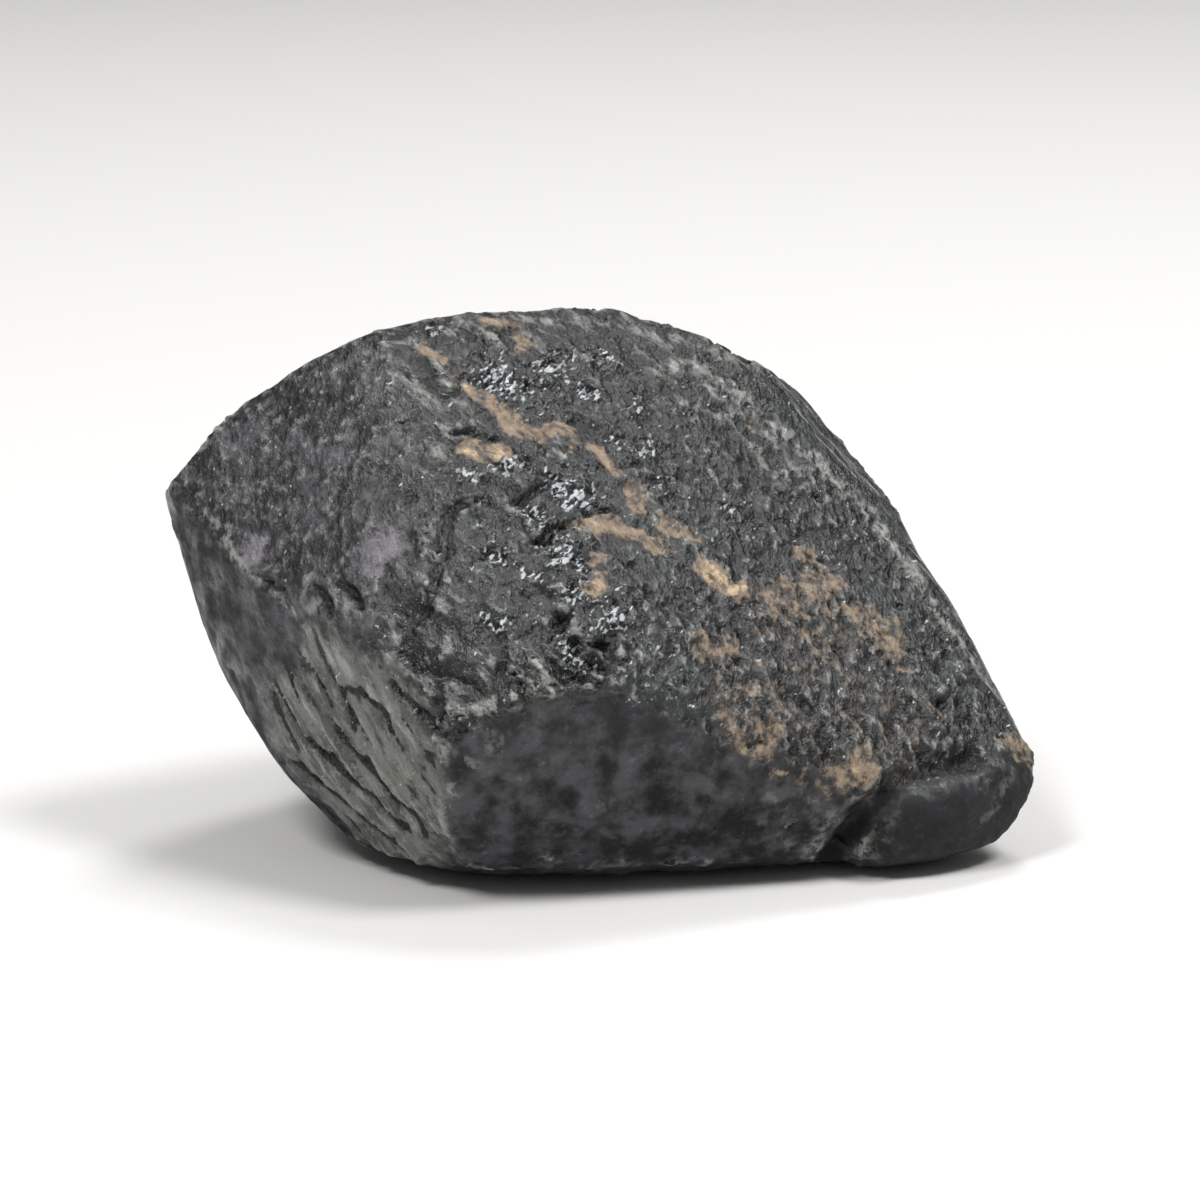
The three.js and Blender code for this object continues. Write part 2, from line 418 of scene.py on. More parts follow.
def paintStone():
    points = pointsOf(stone) / mm
    normals = pointsOf(stone, "normal")
    wandered = points.copy()
    noise.seed_set(painting["seed"])
    for size, reach in painting["wander"]:
        wandered += reach * np.array([noise.noise_vector(Vector(p) / size) for p in points])
    looks = {name: np.max([normals @ np.array(Vector(way).normalized()) for way in ways], axis=0)
             for name, ways in faces.items()}
    pull = {name: np.exp(painting["faceSharpness"] * (look - 1)) for name, look in looks.items()}
    total = sum(pull.values())
    knobX, knobZ = painting["knobFrom"]
    rim = painting["knobRim"]
    knob = fade(wandered[:, 0], knobX + rim, knobX - rim) * fade(wandered[:, 2], knobZ - rim, knobZ + rim)
    knob *= fade(-normals[:, 1], *painting["knobTurn"])
    for name in faces:
        share = pull[name] / total * (1 - knob)
        if name == "lowerFace":   # the knob is as smooth as the lower face
            share += knob
        paint(stone, name, share)
    paint(stone, "knob", knob)
    hidden = fade(normals[:, 1], *painting["behindTurn"])
    paint(stone, "behind", hidden * fade(points[:, 2], *painting["behindFrom"]))
    outline = fade(abs(normals @ np.array(viewAhead)), *painting["crestTurn"])
    crest = outline * fade(points[:, 2], *painting["crestFrom"])
    paint(stone, "lively", 1 - np.maximum(painting["crestWear"] * crest, painting["knobWear"] * knob))
    narrowed = points + painting["lineWander"] * (wandered - points)
    straight = points + painting["grooveWander"] * (wandered - points)
    thin = painting["crackThin"]
    crackAway = nearLines(narrowed, cracks.values(), thin=thin)
    paint(stone, "crackAway", np.minimum(crackAway, nearLines(narrowed, backCracks, onBack, thin)))
    paint(stone, "grooveAway", nearLines(straight, splitGrooves.values()))
    worn = nearStrokes(narrowed, wornLines.values(), painting["wornSpan"])
    paint(stone, "worn", np.maximum(worn, nearStrokes(narrowed, backWorn, painting["wornSpan"], onBack)))
    paint(stone, "crease", fade(nearLines(points, [knobCrease]), *painting["creaseReach"]))
    paint(stone, "scarp", np.maximum(nearSpots(wandered, scarp), nearSpots(wandered, backScarp, onBack)))
    paint(stone, "pit", np.maximum(nearSpots(wandered, pits), nearSpots(wandered, backPits, onBack)))
    paint(stone, "lip", fade(nearLines(wandered, [lip]), *painting["lipReach"]))
    rust = np.maximum(nearSpots(wandered, rustSpots),
                      nearStrokes(wandered, rustStreaks, painting["rustSpan"]))
    backRust = np.maximum(nearSpots(wandered, backRustSpots, onBack),
                          nearStrokes(wandered, backStreaks, painting["rustSpan"], onBack))
    paint(stone, "rust", np.maximum(rust, backRust))
    paint(stone, "shine", np.maximum(nearSpots(wandered, shine), nearSpots(wandered, backShine, onBack)))
    paint(stone, "lilac", nearSpots(wandered, lilac))
    paint(stone, "calm", nearSpots(wandered, smoothPatches))
    splits = fade(nearLines(wandered, splitMiddle), *painting["splitReach"])
    paint(stone, "splits", splits * fade(-normals[:, 0], *painting["splitTurn"]))
    rounded = fade(nearLines(points, [roundedEdge]), *painting["softReach"])
    rounded = np.maximum(rounded, fade(nearLines(points, [heelEdge]), *painting["heelReach"]))
    paint(stone, "soft", np.maximum(rounded, fade(points[:, 2], *painting["footHeight"])))


paintStone()
print("marks painted")

# Relief of each face, in mm. Grain is plain roughness, shards are small tilted facets as the mineral
# breaks, pits are round hollows, steps are the broken edges of layers, grooves follow a line, and
# painted marks stand out or are cut in
downLeft = Vector((0.163, -0.757, -0.633))     # run of the streaks on the left face
downMiddle = Vector((0.67, -0.454, -0.587))    # on the middle face
downTop = Vector((0.688, -0.621, -0.377))      # on the top
downSplit = Vector((0.467, -0.345, -0.814))    # along the splits at the lower left
alongRidge = Vector((0.65, -0.31, -0.69))      # down the right shoulder
relief = [
    {"kind": "grain", "mask": None, "size": 4.0, "height": 0.5},
    {"kind": "grain", "mask": "brim", "size": 1.3, "height": 0.3},
    {"kind": "shards", "mask": "brim", "size": 2.2, "height": 0.22},
    {"kind": "grain", "mask": "mainFace", "size": 1.5, "height": 0.36},
    {"kind": "grain", "mask": "mainFace", "size": 0.6, "height": 0.38},
    {"kind": "shards", "mask": "mainFace", "size": 1.0, "height": 0.15},
    {"kind": "pits", "mask": "mainFace", "size": 0.8, "height": -0.2},
    {"kind": "shards", "mask": "topFace", "size": 1.3, "height": 0.55, "along": downTop, "stretch": 2.6},
    {"kind": "grain", "mask": "topFace", "size": 0.7, "height": 0.3, "along": downTop, "stretch": 2.2},
    {"kind": "grain", "mask": "leftFace", "size": 0.7, "height": 0.24, "along": downLeft, "stretch": 1.8},
    {"kind": "shards", "mask": "leftFace", "size": 2.4, "height": 0.25, "along": downLeft, "stretch": 1.5},
    {"kind": "shards", "mask": "middleFace", "size": 1.4, "height": 0.8, "along": downMiddle,
     "stretch": 2.5},
    {"kind": "grain", "mask": "middleFace", "size": 0.6, "height": 0.32, "along": downMiddle,
     "stretch": 2.2},
    {"kind": "steps", "mask": "splits", "size": 1.0, "height": 0.24, "across": (0.536, -0.634, 0.576),
     "along": downSplit, "stretch": 4},
    {"kind": "grain", "mask": "splits", "size": 0.5, "height": 0.22, "along": downSplit, "stretch": 3},
    {"kind": "groove", "mask": "grooveAway", "reach": 0.36, "height": -0.4},
    {"kind": "grain", "mask": "flank", "size": 0.9, "height": 0.22, "along": downSplit, "stretch": 3},
    {"kind": "shards", "mask": "flank", "size": 2.2, "height": 0.4, "along": downSplit, "stretch": 2},
    {"kind": "grain", "mask": "lowerFace", "size": 2.6, "height": 0.5},
    {"kind": "grain", "mask": "lowerFace", "size": 0.9, "height": 0.2},
    {"kind": "grain", "mask": "shoulder", "size": 0.5, "height": 0.22, "along": alongRidge, "stretch": 6},
    {"kind": "shards", "mask": "behind", "size": 6.5, "height": 0.5},
    {"kind": "shards", "mask": "backFace", "size": 2.0, "height": 0.6, "along": alongRidge, "stretch": 2.5},
    {"kind": "shards", "mask": "backFace", "size": 1.0, "height": 0.25, "along": alongRidge, "stretch": 3},
    {"kind": "grain", "mask": "backFace", "size": 0.6, "height": 0.36, "along": alongRidge, "stretch": 5},
    {"kind": "pits", "mask": "backFace", "size": 1.1, "height": -0.2},
    {"kind": "shards", "mask": "shine", "size": 0.65, "height": 0.3},
    {"kind": "shards", "mask": "scarp", "size": 1.5, "height": 1.6},
    {"kind": "groove", "mask": "crackAway", "reach": 0.36, "height": -0.45},
    {"kind": "painted", "mask": "knob", "height": 0.4},
    {"kind": "grain", "mask": "knob", "size": 2.0, "height": 2.4},
    {"kind": "grain", "mask": "knob", "size": 0.7, "height": 0.9},
    {"kind": "painted", "mask": "crease", "height": -0.65},
    {"kind": "painted", "mask": "pit", "height": -0.35},
    {"kind": "shards", "mask": "lip", "size": 1.3, "height": 0.7},
    {"kind": "painted", "mask": "lip", "height": 0.22},
]
carving = {
    "faceBlur": 24,        # passes by which one kind of surface runs over into the next
    "ragged": 1.1,         # mm, size of the tongues at such a border
    "swing": 1.2,          # how far they reach
    "taper": 0.08,         # share by which the foot is drawn in
    "taperHeight": 5,      # mm
    "softPasses": 320,     # smoothing of the rounded edges and of the foot
    "brimBlur": 30,        # passes that find the edges between the faces
    "brimHeight": 0.14,    # mm, how proud a point of such an edge stands
    "grainNoise": {"Detail": 3, "Roughness": 0.6},
    "shardBend": (1.6, 0.45),   # how often a shard's border bends, and how far, for a shard of size 1
    "pitFields": 0.7,      # how often pits come and go, for pits of size 1
    "stepRise": 0.8,       # share of a step that slopes up before it drops
    "stepBend": (0.6, 2.6),     # how often steps bend, and how far, for steps of size 1
    "stepFields": 0.8,     # how often they come and go
    "edgeBlur": 24,        # passes that find edges and hollows
    "edgeHeight": 0.08,    # mm, how proud a point stands before it counts as an edge
    # Map Range sockets: 1 and 2 are where a ramp starts and ends, 3 and 4 what it gives there
    "borderRamp": {1: 0.2, 2: 0.8},
    "pitRamp": {1: 0.5, 2: 0.12},
    "pitFieldRamp": {1: 0.42, 2: 0.6},
    "stepFieldRamp": {1: 0.35, 2: 0.62, 3: 0.2},
}


def squeezed(tree, place, along, stretch):
    # shrinks space along a direction, so that a pattern runs out in streaks there
    run = addNode(tree, "ShaderNodeVectorMath", {0: place, 1: along}, "Value", operation="DOT_PRODUCT")
    less = addNode(tree, "ShaderNodeMath", {0: run, 1: 1 / stretch - 1}, operation="MULTIPLY")
    shift = addNode(tree, "ShaderNodeVectorMath", {0: along, "Scale": less}, operation="SCALE")
    return addNode(tree, "ShaderNodeVectorMath", {0: place, 1: shift}, operation="ADD")


def shardTilt(tree, place, size):
    # each cell is a little plane with a slope of its own; the height is given in cells
    often, far = carving["shardBend"]
    bent = addNode(tree, "ShaderNodeTexNoise", {"Vector": place, "Scale": often / size, "Detail": 1},
                   "Color")
    shaken = addNode(tree, "ShaderNodeVectorMath", {0: bent, 1: (far * size,) * 3, 2: place},
                     operation="MULTIPLY_ADD")
    spot = addNode(tree, "ShaderNodeVectorMath", {0: shaken, "Scale": 1 / size}, operation="SCALE")
    tint = addNode(tree, "ShaderNodeTexVoronoi", {"Vector": spot, "Scale": 1.0}, "Color")
    middle = tint.node.outputs["Position"]
    away = addNode(tree, "ShaderNodeVectorMath", {0: spot, 1: middle}, operation="SUBTRACT")
    slope = addNode(tree, "ShaderNodeVectorMath", {0: tint, 1: (0.5, 0.5, 0.5)}, operation="SUBTRACT")
    return addNode(tree, "ShaderNodeVectorMath", {0: away, 1: slope}, "Value", operation="DOT_PRODUCT")


def layerHeight(tree, place, layer):
    spot = squeezed(tree, place, layer["along"], layer["stretch"]) if "along" in layer else place
    mask = None
    if layer["mask"]:
        mask = addNode(tree, "GeometryNodeInputNamedAttribute", {"Name": layer["mask"]})
    if layer["kind"] == "painted":
        shape = 1.0
    elif layer["kind"] == "groove":
        shape = 1.0
        mask = addNode(tree, "ShaderNodeMapRange", {0: mask, 1: layer["reach"], 2: 0}, **easing)
    elif layer["kind"] == "grain":
        rough = addNode(tree, "ShaderNodeTexNoise",
                        {"Vector": spot, "Scale": 1 / layer["size"], **carving["grainNoise"]})
        shape = addNode(tree, "ShaderNodeMath", {0: rough, 1: 0.5}, operation="SUBTRACT")
    elif layer["kind"] == "shards":
        shape = shardTilt(tree, spot, layer["size"])
    elif layer["kind"] == "pits":
        cell = addNode(tree, "ShaderNodeTexVoronoi", {"Vector": place, "Scale": 1 / layer["size"]})
        bowl = addNode(tree, "ShaderNodeMapRange", {0: cell, **carving["pitRamp"]}, **easing)
        few = addNode(tree, "ShaderNodeTexNoise",
                      {"Vector": place, "Scale": carving["pitFields"] / layer["size"], "Detail": 1})
        pick = addNode(tree, "ShaderNodeMapRange", {0: few, **carving["pitFieldRamp"]}, **easing)
        shape = addNode(tree, "ShaderNodeMath", {0: bowl, 1: pick}, operation="MULTIPLY")
    else:
        often, far = carving["stepBend"]
        run = addNode(tree, "ShaderNodeVectorMath", {0: place, 1: layer["across"]}, "Value",
                      operation="DOT_PRODUCT")
        count = addNode(tree, "ShaderNodeMath", {0: run, 1: layer["size"]}, operation="DIVIDE")
        bend = addNode(tree, "ShaderNodeTexNoise",
                       {"Vector": spot, "Scale": often / layer["size"], "Detail": 3})
        bent = addNode(tree, "ShaderNodeMath", {0: bend, 1: far, 2: count}, operation="MULTIPLY_ADD")
        part = addNode(tree, "ShaderNodeMath", {0: bent}, operation="FRACT")
        rise = addNode(tree, "ShaderNodeMath", {0: part, 1: carving["stepRise"]}, operation="DIVIDE")
        left = addNode(tree, "ShaderNodeMath", {0: 1.0, 1: part}, operation="SUBTRACT")
        drop = addNode(tree, "ShaderNodeMath", {0: left, 1: 1 - carving["stepRise"]}, operation="DIVIDE")
        saw = addNode(tree, "ShaderNodeMath", {0: rise, 1: drop}, operation="MINIMUM")
        level = addNode(tree, "ShaderNodeMath", {0: saw, 1: 0.5}, operation="SUBTRACT")
        fits = addNode(tree, "ShaderNodeTexNoise",
                       {"Vector": spot, "Scale": carving["stepFields"] / layer["size"], "Detail": 1})
        come = addNode(tree, "ShaderNodeMapRange", {0: fits, **carving["stepFieldRamp"]}, **easing)
        shape = addNode(tree, "ShaderNodeMath", {0: level, 1: come}, operation="MULTIPLY")
    height = addNode(tree, "ShaderNodeMath", {0: shape, 1: layer["height"]}, operation="MULTIPLY")
    if mask:
        height = addNode(tree, "ShaderNodeMath", {0: height, 1: mask}, operation="MULTIPLY")
    if layer["kind"] not in ("painted", "groove"):
        lively = addNode(tree, "GeometryNodeInputNamedAttribute", {"Name": "lively"})
        height = addNode(tree, "ShaderNodeMath", {0: height, 1: lively}, operation="MULTIPLY")
    return height


def storeProud(tree, shape, name, passes, height):
    # a point that stands proud of its blurred self is an edge, one that lies below it a hollow
    position = addNode(tree, "GeometryNodeInputPosition")
    normal = addNode(tree, "GeometryNodeInputNormal")
    blurred = addNode(tree, "GeometryNodeBlurAttribute", {"Value": position, "Iterations": passes},
                      data_type="FLOAT_VECTOR")
    apart = addNode(tree, "ShaderNodeVectorMath", {0: position, 1: blurred}, operation="SUBTRACT")
    proud = addNode(tree, "ShaderNodeVectorMath", {0: apart, 1: normal}, "Value", operation="DOT_PRODUCT")
    scaled = addNode(tree, "ShaderNodeMath", {0: proud, 1: height * mm}, operation="DIVIDE")
    return addNode(tree, "GeometryNodeStoreNamedAttribute",
                   {"Geometry": shape, "Name": name, "Value": scaled})


def stoneRelief():
    tree = bpy.data.node_groups.new("stoneRelief", "GeometryNodeTree")
    for way in ("INPUT", "OUTPUT"):
        tree.interface.new_socket("Geometry", in_out=way, socket_type="NodeSocketGeometry")
    shape = addNode(tree, "NodeGroupInput")
    position = addNode(tree, "GeometryNodeInputPosition")
    normal = addNode(tree, "GeometryNodeInputNormal")
    # let each kind of surface run over into the next, raggedly
    spots = addNode(tree, "ShaderNodeVectorMath", {0: position, "Scale": 1 / mm}, operation="SCALE")
    ragged = addNode(tree, "ShaderNodeTexNoise",
                     {"Vector": spots, "Scale": 1 / carving["ragged"], "Detail": 3})
    swing = addNode(tree, "ShaderNodeMath", {0: ragged, 1: 0.5}, operation="SUBTRACT")
    for name in faces:
        share = addNode(tree, "GeometryNodeInputNamedAttribute", {"Name": name})
        spread = addNode(tree, "GeometryNodeBlurAttribute",
                         {"Value": share, "Iterations": carving["faceBlur"]})
        swung = addNode(tree, "ShaderNodeMath", {0: swing, 1: carving["swing"], 2: spread},
                        operation="MULTIPLY_ADD")
        edged = addNode(tree, "ShaderNodeMapRange", {0: swung, **carving["borderRamp"]}, **easing)
        shape = addNode(tree, "GeometryNodeStoreNamedAttribute",
                        {"Geometry": shape, "Name": name, "Value": edged})
    # draw the stone in towards its foot
    height = addNode(tree, "ShaderNodeSeparateXYZ", {0: position}, 2)
    drawn = addNode(tree, "ShaderNodeMapRange",
                    {0: height, 1: carving["taperHeight"] * mm, 2: 0, 4: -carving["taper"]},
                    **easing)
    level = addNode(tree, "ShaderNodeVectorMath", {0: position, 1: (1, 1, 0)}, operation="MULTIPLY")
    inward = addNode(tree, "ShaderNodeVectorMath", {0: level, "Scale": drawn}, operation="SCALE")
    shape = addNode(tree, "GeometryNodeSetPosition", {"Geometry": shape, "Offset": inward})
    # round off the soft edges and the foot
    soft = addNode(tree, "GeometryNodeInputNamedAttribute", {"Name": "soft"})
    eased = addNode(tree, "GeometryNodeBlurAttribute",
                    {"Value": position, "Iterations": carving["softPasses"], "Weight": soft},
                    data_type="FLOAT_VECTOR")
    shape = addNode(tree, "GeometryNodeSetPosition", {"Geometry": shape, "Position": eased})
    shape = storeProud(tree, shape, "brim", carving["brimBlur"], carving["brimHeight"])
    place = addNode(tree, "ShaderNodeVectorMath", {0: position, "Scale": 1 / mm}, operation="SCALE")
    total = None
    for layer in relief:
        height = layerHeight(tree, place, layer)
        total = addNode(tree, "ShaderNodeMath", {0: total, 1: height}, operation="ADD") if total else height
    metres = addNode(tree, "ShaderNodeMath", {0: total, 1: mm}, operation="MULTIPLY")
    offset = addNode(tree, "ShaderNodeVectorMath", {0: normal, "Scale": metres}, operation="SCALE")
    moved = addNode(tree, "ShaderNodeVectorMath", {0: position, 1: offset}, operation="ADD")
    above = addNode(tree, "ShaderNodeVectorMath", {0: moved, 1: (-1, -1, 0)}, operation="MAXIMUM")
    shape = addNode(tree, "GeometryNodeSetPosition", {"Geometry": shape, "Position": above})
    shape = storeProud(tree, shape, "proud", carving["edgeBlur"], carving["edgeHeight"])
    addNode(tree, "NodeGroupOutput", {0: shape})
    return tree


applyModifier(stone, "NODES", node_group=stoneRelief())
bpy.ops.object.select_all(action="DESELECT")
stone.select_set(True)
bpy.context.view_layer.objects.active = stone
bpy.ops.object.shade_smooth()
print("relief made:", sum(len(face.vertices) - 2 for face in stone.data.polygons), "triangles")

# Schorl, black tourmaline as broken and weathered: near-black and glassy where fresh, with fine grey
# streaks, pale worn edges, rust in the rough places and a faint lilac bloom on the left face; glints, a rim
# highlight on the crest and the shade in hollows, cracks, pits and on the top are painted
schorl = {
    "colours": {
        # the fresh black of the stone, also used as painted shade in the hollows
        "freshBlackAndHollowShade": "#08090b",
        "weathered": "#2c2f31",
        "weatheredLeft": "#4a494d",
        "weatheredLow": "#2f3138",
        # grey streaks of the grain, and painted glints
        "paleStreakAndGlint": "#a8aaa7",
        # painted glints of the crystal ends
        "paintedGlint": "#d4dade",
        "split": "#757670",
        "wornEdge": "#a9aaa4",
        # pale worn edges, and the painted rim highlight of the crest
        "rust": "#6a5d51",
        "tan": "#a08d78",
        "ochre": "#d9bf9b",
        "bloom": "#9b939c",
        # painted shade in cracks, grooves and pits
        "gapShade": "#030404",
    },
    "ior": 1.63,
    # sizes in mm
    "streakSize": 0.42,   # width of the fine streaks and specks
    "mottle": 2.4,        # the larger patches
    "blotch": 1.5,        # clouds on the smooth lower face
    "dust": 0.525,        # specks of rust
    "facet": 0.42,        # the crystal ends that sparkle
    "paintedGlintSize": 0.2,     # bright crystal ends, painted glints
    # the way each kind of grain runs, and how long it is for its width
    "runs": {
        "specks": (downLeft, 1.5),
        "streaks": (downMiddle, 2.4),
        "fibres": (alongRidge, 8),
        "layers": (downSplit, 6),
    },
    "paintedGlintRun": (Vector((0.431, 0.874, 0.226)), 2.6),
    # how much of one thing goes into another
    "backFibres": 0.8,    # fibres on the hidden side
    "topPaintedShade": -0.18,     # painted shade: the top has less of the weathered grey, so it is darker
    "splitGrey": 0.45,    # and the splits more
    "shineBlack": 0.85,   # fresh black in the shiny clusters
    "shinePaintedGlints": 0.17,  # and bright ends there, painted glints
    "dustRust": 3.2,      # how far dust breaks up a stain
    "grainTone": 6.0,     # how far the grain sets the tone of the rust
    "speckBump": 0.3,     # mm, height of the specks
    # roughness
    "leftMatt": 0.46,
    "knobMatt": 0.9,
    "shineMatt": 0.14,
    "rustMatt": 0.75,
    # Map Range sockets as above: where each effect starts and ends, and what it gives there
    "calmRamp": {1: 0.1, 2: 0.8, 3: 1, 4: 0.06},
    "patchRamp": {1: 0.88, 2: 1.12},
    "cloudRamp": {1: 0.4, 2: 0.64},
    "knobRamp": {3: 1, 4: 0.45},
    "paleRamp": {1: 0.54, 2: 0.72, 4: 0.85},
    "plainRamp": {3: 1, 4: 0.6},
    "hollowShadeRamp": {1: -0.1, 2: -0.8},
    "proudRamp": {1: 0.4, 2: 3.0},
    "brokenRamp": {1: 0.42, 2: 0.62},
    "paintedGlintRamp": {1: 0.67, 2: 0.77},
    "rustRamp": {1: 1.85, 2: 2.6},
    "gritRamp": {1: 0.34, 2: 0.53, 3: 0.3},
    "stainRamp": {1: 0.1, 2: 0.45},
    "tanRamp": {1: 4.7, 2: 6.2},
    "ochreRamp": {1: 6.3, 2: 7.4},
    "bloomRamp": {1: 0.95, 2: 1.5, 4: 0.6},
    "unevenRamp": {1: 0.35, 2: 0.65, 3: 1.5, 4: 0.7},
    "crackRamp": {1: 0.27, 2: 0.135},            # mm from the crack
    "grooveRamp": {1: 0.18, 2: 0.05, 4: 0.8},    # mm from the groove
    "satinRamp": {1: 0.3, 2: 0.7, 3: 0.18, 4: 0.4},
    "dullRamp": {1: 0.35, 2: 0.62, 3: 0.9, 4: 0.33},
    "footRamp": {1: 0, 2: 8, 3: 0.4, 4: -0.1},   # mm of height, over which the rubbed foot ends
    "sparkleRamp": {3: 0.12, 4: 0.5},
    "subduedRamp": {3: 1, 4: 0.3},
}


def schorlMaterial():
    material = bpy.data.materials.new("schorl")
    material.use_nodes = True
    tree = material.node_tree
    tree.nodes.clear()
    coords = addNode(tree, "ShaderNodeTexCoord", out="Object")
    place = addNode(tree, "ShaderNodeVectorMath", {0: coords, "Scale": 1 / mm}, operation="SCALE")
    mark = {name: addNode(tree, "ShaderNodeAttribute", out="Fac", attribute_name=name)
            for name in ("leftFace", "middleFace", "topFace", "lowerFace", "shoulder", "flank", "backFace",
                         "knob", "splits", "crackAway", "grooveAway", "worn", "pit", "rust", "shine",
                         "lilac", "calm", "proud")}
    tint = {name: linear(hexColour) for name, hexColour in schorl["colours"].items()}
    # streaks run down the middle and the top, fibres along the shoulder and behind, layers at the splits,
    # and the rest is specks
    grain = {"Scale": 1 / schorl["streakSize"], "Detail": 4, "Roughness": 0.62}
    kinds = {name: addNode(tree, "ShaderNodeTexNoise", {"Vector": squeezed(tree, place, *run), **grain})
             for name, run in schorl["runs"].items()}
    slanted = addNode(tree, "ShaderNodeMath", {0: mark["middleFace"], 1: mark["topFace"]}, operation="ADD")
    fine = addNode(tree, "ShaderNodeMix", {0: slanted, 2: kinds["specks"], 3: kinds["streaks"]})
    fibrous = addNode(tree, "ShaderNodeMath",
                      {0: mark["backFace"], 1: schorl["backFibres"], 2: mark["shoulder"]},
                      operation="MULTIPLY_ADD", use_clamp=True)
    fine = addNode(tree, "ShaderNodeMix", {0: fibrous, 2: fine, 3: kinds["fibres"]})
    fine = addNode(tree, "ShaderNodeMix", {0: mark["splits"], 2: fine, 3: kinds["layers"]})
    mottle = addNode(tree, "ShaderNodeTexNoise",
                     {"Vector": place, "Scale": 1 / schorl["mottle"], "Detail": 4, "Roughness": 0.65})
    blotch = addNode(tree, "ShaderNodeTexNoise",
                     {"Vector": place, "Scale": 1 / schorl["blotch"], "Detail": 4, "Roughness": 0.6})
    flank, lower = [addNode(tree, "ShaderNodeMath", {0: mark[name], 1: mark["splits"]},
                            operation="SUBTRACT", use_clamp=True) for name in ("flank", "lowerFace")]
    smooth = addNode(tree, "ShaderNodeMath", {0: lower, 1: flank}, operation="MAXIMUM")
    still = addNode(tree, "ShaderNodeMath", {0: smooth, 1: mark["calm"]}, operation="MAXIMUM")
    rough = addNode(tree, "ShaderNodeMapRange", {0: still, **schorl["calmRamp"]})
    # weathered in patches, fresh black between
    grey = addNode(tree, "ShaderNodeMix", {0: mark["leftFace"], 6: tint["weathered"],
                                           7: tint["weatheredLeft"]}, 2, data_type="RGBA")
    grey = addNode(tree, "ShaderNodeMix", {0: smooth, 6: grey, 7: tint["weatheredLow"]}, 2, data_type="RGBA")
    grey = addNode(tree, "ShaderNodeMix", {0: mark["splits"], 6: grey, 7: tint["split"]}, 2,
                   data_type="RGBA")
    spread = addNode(tree, "ShaderNodeMath", {0: fine, 1: mottle}, operation="ADD")
    spread = addNode(tree, "ShaderNodeMath", {0: mark["topFace"], 1: schorl["topPaintedShade"], 2: spread},
                     operation="MULTIPLY_ADD")
    patches = addNode(tree, "ShaderNodeMapRange", {0: spread, **schorl["patchRamp"]}, **easing)
    clouds = addNode(tree, "ShaderNodeMapRange", {0: blotch, **schorl["cloudRamp"]}, **easing)
    patches = addNode(tree, "ShaderNodeMix", {0: smooth, 2: patches, 3: clouds})
    darker = addNode(tree, "ShaderNodeMapRange", {0: mark["knob"], **schorl["knobRamp"]})
    patches = addNode(tree, "ShaderNodeMath", {0: patches, 1: darker}, operation="MULTIPLY")
    patches = addNode(tree, "ShaderNodeMath", {0: mark["splits"], 1: schorl["splitGrey"], 2: patches},
                      operation="MULTIPLY_ADD", use_clamp=True)
    colour = addNode(tree, "ShaderNodeMix", {0: patches, 6: tint["freshBlackAndHollowShade"], 7: grey}, 2, data_type="RGBA")
    # thin pale streaks and specks, partly grain and partly painted glints, fewer on the top and the left
    # face
    pale = addNode(tree, "ShaderNodeMapRange", {0: fine, **schorl["paleRamp"]}, **easing)
    plain = addNode(tree, "ShaderNodeMath", {0: mark["topFace"], 1: mark["leftFace"]}, operation="MAXIMUM")
    fewer = addNode(tree, "ShaderNodeMapRange", {0: plain, **schorl["plainRamp"]})
    rough = addNode(tree, "ShaderNodeMath", {0: rough, 1: fewer}, operation="MULTIPLY")
    pale = addNode(tree, "ShaderNodeMath", {0: pale, 1: rough}, operation="MULTIPLY")
    colour = addNode(tree, "ShaderNodeMix", {0: pale, 6: colour, 7: tint["paleStreakAndGlint"]}, 2, data_type="RGBA")
    # painted shade: hollows are drawn in the fresh black; edges are worn pale
    hollowShade = addNode(tree, "ShaderNodeMapRange", {0: mark["proud"], **schorl["hollowShadeRamp"]}, **easing)
    colour = addNode(tree, "ShaderNodeMix", {0: hollowShade, 6: colour, 7: tint["freshBlackAndHollowShade"]}, 2, data_type="RGBA")
    # the worn lines hold the crest's rim too, a painted highlight
    proud = addNode(tree, "ShaderNodeMapRange", {0: mark["proud"], **schorl["proudRamp"]}, **easing)
    proud = addNode(tree, "ShaderNodeMix", {0: mark["knob"], 2: proud, 3: 0.0})
    both = addNode(tree, "ShaderNodeMath", {0: proud, 1: mark["worn"]}, operation="MAXIMUM")
    broken = addNode(tree, "ShaderNodeMapRange", {0: fine, **schorl["brokenRamp"]}, **easing)
    edge = addNode(tree, "ShaderNodeMath", {0: both, 1: broken}, operation="MULTIPLY")
    colour = addNode(tree, "ShaderNodeMix", {0: edge, 6: colour, 7: tint["wornEdge"]}, 2, data_type="RGBA")
    # painted glints: bright crystal ends on black, thick in the shiny clusters and rare elsewhere
    black = addNode(tree, "ShaderNodeMath", {0: mark["shine"], 1: schorl["shineBlack"]},
                    operation="MULTIPLY")
    colour = addNode(tree, "ShaderNodeMix", {0: black, 6: colour, 7: tint["freshBlackAndHollowShade"]}, 2, data_type="RGBA")
    ends = addNode(tree, "ShaderNodeTexNoise", {"Vector": squeezed(tree, place, *schorl["paintedGlintRun"]),
                                                "Scale": 1 / schorl["paintedGlintSize"], "Detail": 2})
    ends = addNode(tree, "ShaderNodeMath", {0: mark["shine"], 1: schorl["shinePaintedGlints"], 2: ends},
                   operation="MULTIPLY_ADD")
    paintedGlint = addNode(tree, "ShaderNodeMapRange", {0: ends, **schorl["paintedGlintRamp"]}, **easing)
    bare = addNode(tree, "ShaderNodeMath", {0: rough, 1: mark["shine"]}, operation="MAXIMUM")
    paintedGlint = addNode(tree, "ShaderNodeMath", {0: paintedGlint, 1: bare}, operation="MULTIPLY")
    colour = addNode(tree, "ShaderNodeMix", {0: paintedGlint, 6: colour, 7: tint["paintedGlint"]}, 2, data_type="RGBA")
